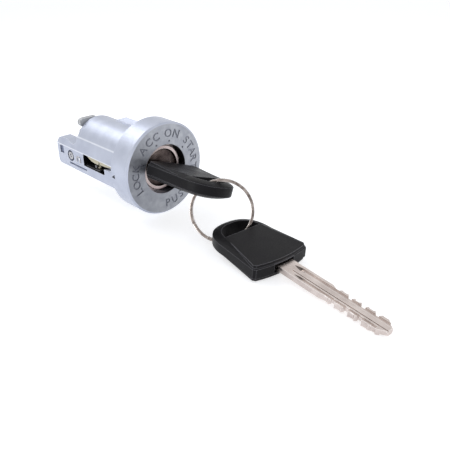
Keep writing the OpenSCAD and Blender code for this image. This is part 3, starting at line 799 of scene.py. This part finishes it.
# %% [markdown]
# The rail meets the tube in two shallow creases, too blunt for the general
# limit. They run along the lock, so their long edges are found by direction and
# kept crisp.

# %% The rail's creases
crease_angle, crease_length = math.radians(7), 2 * mm
bm = bmesh.new()
bm.from_mesh(head.data)
creases = [e for e in bm.edges if len(e.link_faces) == 2 and e.calc_length() > crease_length
           and abs((e.verts[1].co - e.verts[0].co).normalized().y) > 0.999
           and e.verts[0].co.x < -10 * mm and -3 * mm < e.verts[0].co.z < 8 * mm
           and e.calc_face_angle(0) > crease_angle]
for e in creases:
    e.smooth = False
bm.to_mesh(head.data)
bm.free()
print("crease edges:", len(creases))

# %% [markdown]
# ## Where the blade grooves begin
#
# The grooves along a key blade are milled by a wheel, so each begins with a
# shallow pointed run-in instead of a square end. The wheel itself, a disc with
# a bevelled rim made by spinning a half section, cuts them. A second groove
# runs close to one row of teeth; it is too fine for the CAD model, so a long
# block cuts it here. Both faces of a blade get the same cuts, by a half turn.

# %% The groove wheel
blade_half, groove_floor, wheel_r = 1.2 * mm, 0.7 * mm, 20 * mm
main_groove = {"middle": -1.7 * mm, "width": 1.9 * mm, "start": 9.6 * mm}
tooth_groove = {"middle": 2.75 * mm, "width": 1.3 * mm, "start": 13.5 * mm}
trough_width, trough_length, trough_height = 1.0 * mm, 33 * mm, 1.0 * mm


def wheel(middle, width, start):
    """The cutting wheel of a groove, in the blade's own frame."""
    bm = bmesh.new()
    half, rim = width / 2, wheel_r - (blade_half - groove_floor)
    profile = [bm.verts.new((x, 0, r)) for x, r in
               ((-half, 0), (-half, rim), (0, wheel_r), (half, rim), (half, 0))]
    lines = [bm.edges.new(pair) for pair in zip(profile, profile[1:])]
    bmesh.ops.spin(bm, geom=profile + lines, cent=(0, 0, 0), axis=(1, 0, 0),
                   angle=math.tau, steps=96, use_merge=True, use_duplicate=False)
    bmesh.ops.remove_doubles(bm, verts=bm.verts, dist=merge_reach)
    bmesh.ops.translate(bm, vec=(middle, start, groove_floor + wheel_r), verts=bm.verts)
    return bm


def trough():
    """The long block that cuts the groove beside the teeth."""
    bm = bmesh.new()
    middle = Vector((tooth_groove["middle"], tooth_groove["start"] + trough_length / 2,
                     groove_floor + trough_height / 2))
    bmesh.ops.create_cube(bm, size=1, matrix=Matrix.Translation(middle)
                          @ Matrix.Diagonal((trough_width, trough_length, trough_height, 1)))
    return bm


for name, own_frame in (("key_blade", key_frame), ("spare_blade", spare_frame)):
    blade = mesh_object(name + "_soft", closed_copy(name), body_of_node[name], [name],
                        slot_of[name])
    for half_turn in (0, math.pi):
        turned = own_frame @ Matrix.Rotation(half_turn, 4, "Y")
        # The wheels' cut faces get the dark nickel: painted shade and reflection.
        for cutter, finish in ((wheel(**main_groove), groove_painted_shade),
                               (wheel(**tooth_groove), groove_painted_shade),
                               (trough(), key_nickel)):
            cutter.transform(turned)
            carve(blade, cutter, finish)
    bm = bmesh.new()
    bm.from_mesh(blade.data)
    volume = bm.calc_volume() / mm ** 3
    mark_sharp(soften(join_flat(bm), 0.08 * mm))
    bm.to_mesh(blade.data)
    bm.free()
    print(blade.name, "faces:", len(blade.data.polygons), "cubic mm:", round(volume, 1))

# %% [markdown]
# ## The raised cast mark
#
# Between the retaining pin and the window the casting carries a small raised
# hook. It is one round wire bent over, half sunk in the rail's side: a circle
# spun through half a turn, with both ends drawn down into short legs.

# %% The hook
hook_r, hook_wire, hook_leg = 1.5 * mm, 0.42 * mm, 1.3 * mm
hook_place = Vector((-14.6, 45.2, -5.5)) * mm
bm = bmesh.new()
bmesh.ops.create_circle(bm, cap_ends=True, segments=10, radius=hook_wire,
                        matrix=Matrix.Translation((0, hook_r, 0)))
bmesh.ops.spin(bm, geom=list(bm.faces), cent=(0, 0, 0), axis=(1, 0, 0), angle=math.pi,
               steps=14, use_duplicate=False)
for f in (min(bm.faces, key=lambda f: (f.calc_center_median() - Vector((0, side, 0))).length)
          for side in (hook_r, -hook_r)):
    leg = bmesh.ops.extrude_face_region(bm, geom=[f])
    bmesh.ops.translate(bm, vec=(0, 0, -hook_leg),
                        verts=[g for g in leg["geom"] if isinstance(g, bmesh.types.BMVert)])
    bmesh.ops.delete(bm, geom=[f], context="FACES_ONLY")
bmesh.ops.recalc_face_normals(bm, faces=bm.faces)
bm.transform(Matrix.Translation(hook_place))
hook = mesh_object("cast_hook", bm, "housing", [], "pin_steel")
print("hook faces:", len(hook.data.polygons))

# %% [markdown]
# ## The split ring
#
# A split ring is flat wire wound nearly two turns, so it is double almost all
# the way round and steps from one turn to the next. The wire's section is one
# small face, swept by the spin operator in three stages: a turn, the step and
# a second turn. It is made round Z and then leaned to the ring's own normal.

# %% The wound wire
wire_w, wire_t, turn_gap = 1.3 * mm, 0.97 * mm, 0.05 * mm
turn_steps, step_steps = 84, 12
rise = wire_t + turn_gap
split_at, step_angle = math.radians(63), math.radians(36)
heading, lean = math.atan2(ring_normal.y, ring_normal.x), math.acos(ring_normal.z)
ring_frame = (Matrix.Translation(ring_centre) @ Matrix.Rotation(heading, 4, "Z")
              @ Matrix.Rotation(lean, 4, "Y"))
bm = bmesh.new()
bmesh.ops.create_grid(bm, x_segments=1, y_segments=1, size=0.5, matrix=Matrix.Translation(
    (ring_r, 0, -rise / 2)) @ Matrix.Rotation(math.radians(90), 4, "X")
    @ Matrix.Diagonal((wire_w, wire_t, 1, 1)))
section = list(bm.faces)
one_turn = (math.tau - step_angle, 0, turn_steps)
for angle, climb, steps in (one_turn, (step_angle, rise, step_steps), one_turn):
    swept = bmesh.ops.spin(bm, geom=section, cent=(0, 0, 0), axis=(0, 0, 1), angle=angle,
                           steps=steps, dvec=(0, 0, climb / steps), use_duplicate=False)
    section = [g for g in swept["geom_last"] if isinstance(g, bmesh.types.BMFace)]
bmesh.ops.recalc_face_normals(bm, faces=bm.faces)
soften(bm, 0.16 * mm)
bm.transform(ring_frame @ Matrix.Rotation(split_at, 4, "Z"))
ring_piece = mesh_object("split_ring", bm, "ring", ["key_ring"], "ring_metal")
print("split ring faces:", len(ring_piece.data.polygons))

# %% [markdown]
# ## Even shading
#
# On a softened piece the narrow bevels pull the normals of the wide faces round
# and shade them unevenly. A Weighted Normal modifier lets the wide faces decide
# and keeps the marked edges sharp.

# %% Weighted normals
for piece in [o for o in scene.objects if o.name.endswith("_soft")]:
    even = piece.modifiers.new("even_shading", "WEIGHTED_NORMAL")
    even.keep_sharp = True
    print("even shading on", piece.name)

# %% [markdown]
# ## Closing
#
# The view transform is set to Standard. The visual model has to stay inside
# the CAD model's box.

# %% View
scene.view_settings.view_transform = "Standard"
